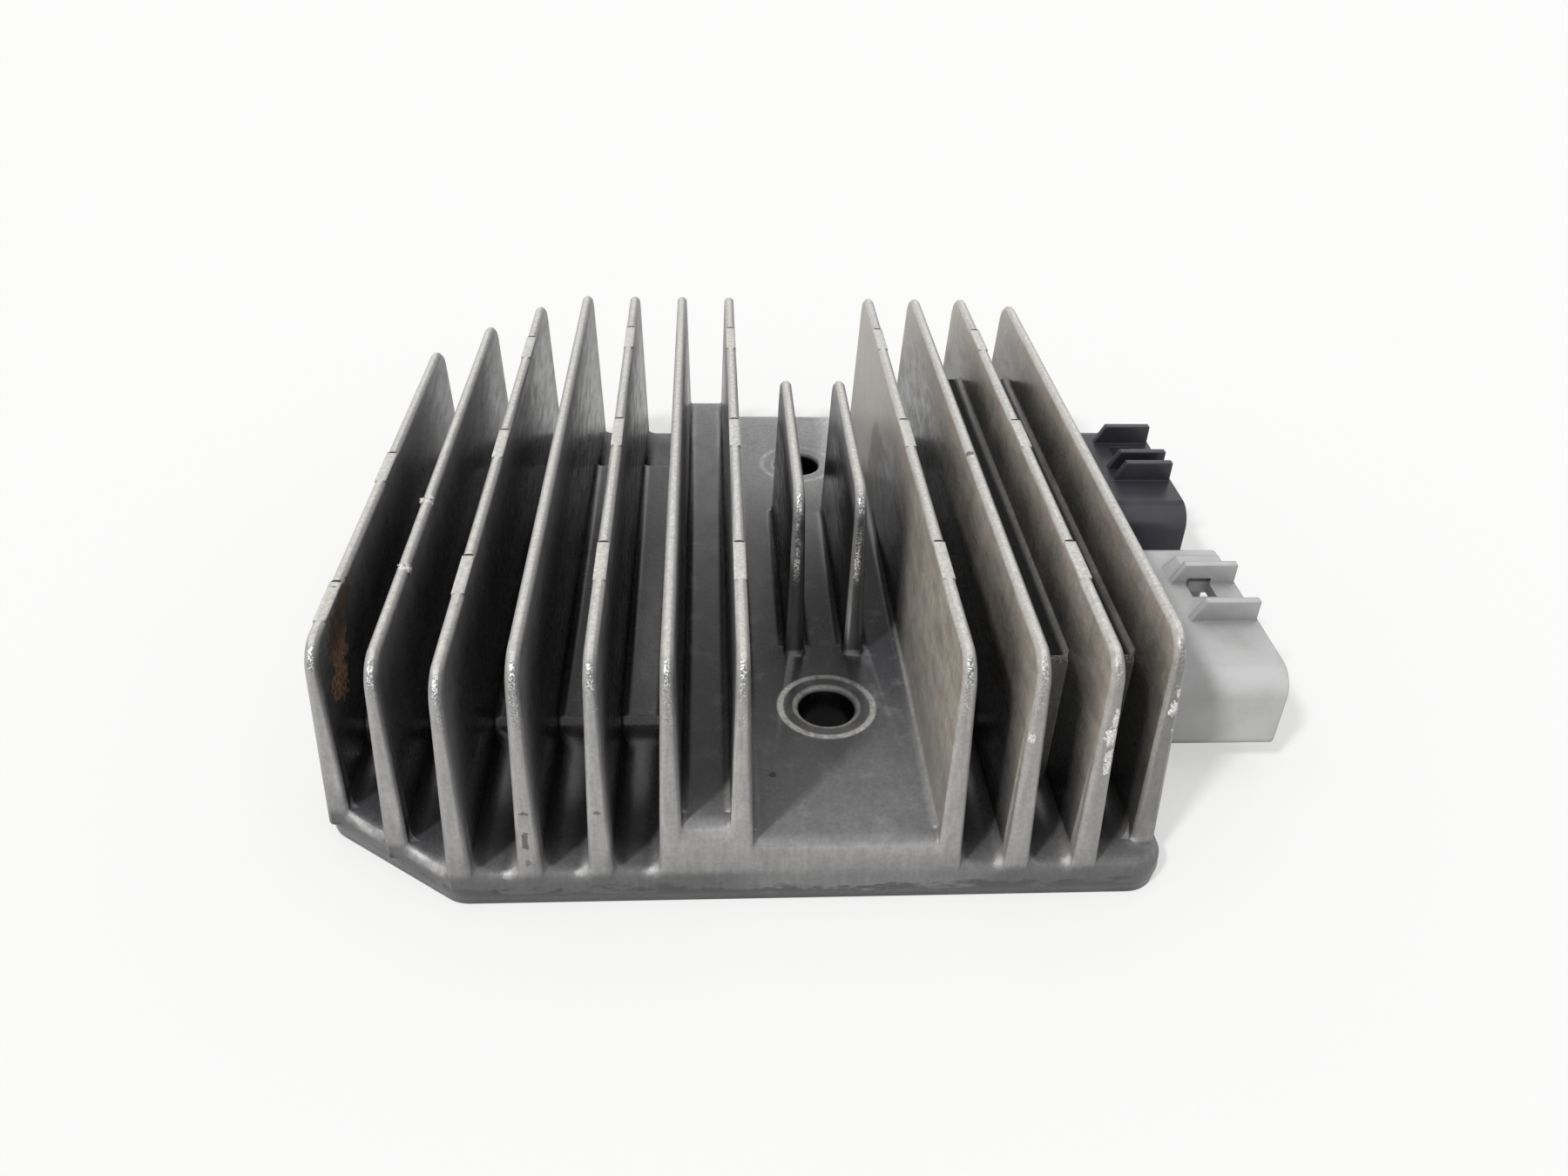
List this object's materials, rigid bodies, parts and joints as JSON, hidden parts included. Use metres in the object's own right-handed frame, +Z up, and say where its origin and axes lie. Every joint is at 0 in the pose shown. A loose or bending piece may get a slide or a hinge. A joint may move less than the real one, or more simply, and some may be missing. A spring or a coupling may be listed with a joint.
{
  "type": "voltage regulator rectifier",
  "caption": "Finned die-cast regulator rectifier with two sealed blade connectors on one side and two mounting holes in its centre channel.",
  "frame": {"origin": "on the flat mounting face, midway between the two mounting holes", "axes": "+X across the fins towards the connectors, +Y along the fins away from the output connector, +Z up from the mounting face"},
  "size_m": [0.1073, 0.0981, 0.0293],
  "materials": {
    "painted_casting": "painted, satin",
    "grey_plastic": "satin",
    "black_plastic": "satin",
    "terminal_brass": "tinned",
    "substrate_aluminium": "matte",
    "device_plastic": "moulded",
    "board_laminate": "lacquered",
    "capacitor_case": "moulded",
    "potting_resin": "poured, glossy"
  },
  "bodies": {
    "root": {"heat_sink_housing": "painted_casting", "output_connector_shell": "grey_plastic", "stator_connector_shell": "black_plastic", "output_blade_negative": "terminal_brass", "output_blade_positive": "terminal_brass", "stator_blade_front": "terminal_brass", "stator_blade_middle": "terminal_brass", "stator_blade_rear": "terminal_brass", "board_link_pins": "terminal_brass", "power_substrate": "substrate_aluminium", "thyristor_left": "device_plastic", "thyristor_middle": "device_plastic", "thyristor_right": "device_plastic", "diode_left": "device_plastic", "diode_middle": "device_plastic", "diode_right": "device_plastic", "control_board": "board_laminate", "control_chip": "device_plastic", "driver_chip": "device_plastic", "zener_diode": "device_plastic", "output_capacitor": "capacitor_case", "timing_capacitor": "capacitor_case", "potting_resin": "potting_resin"}
  },
  "joints": []
}
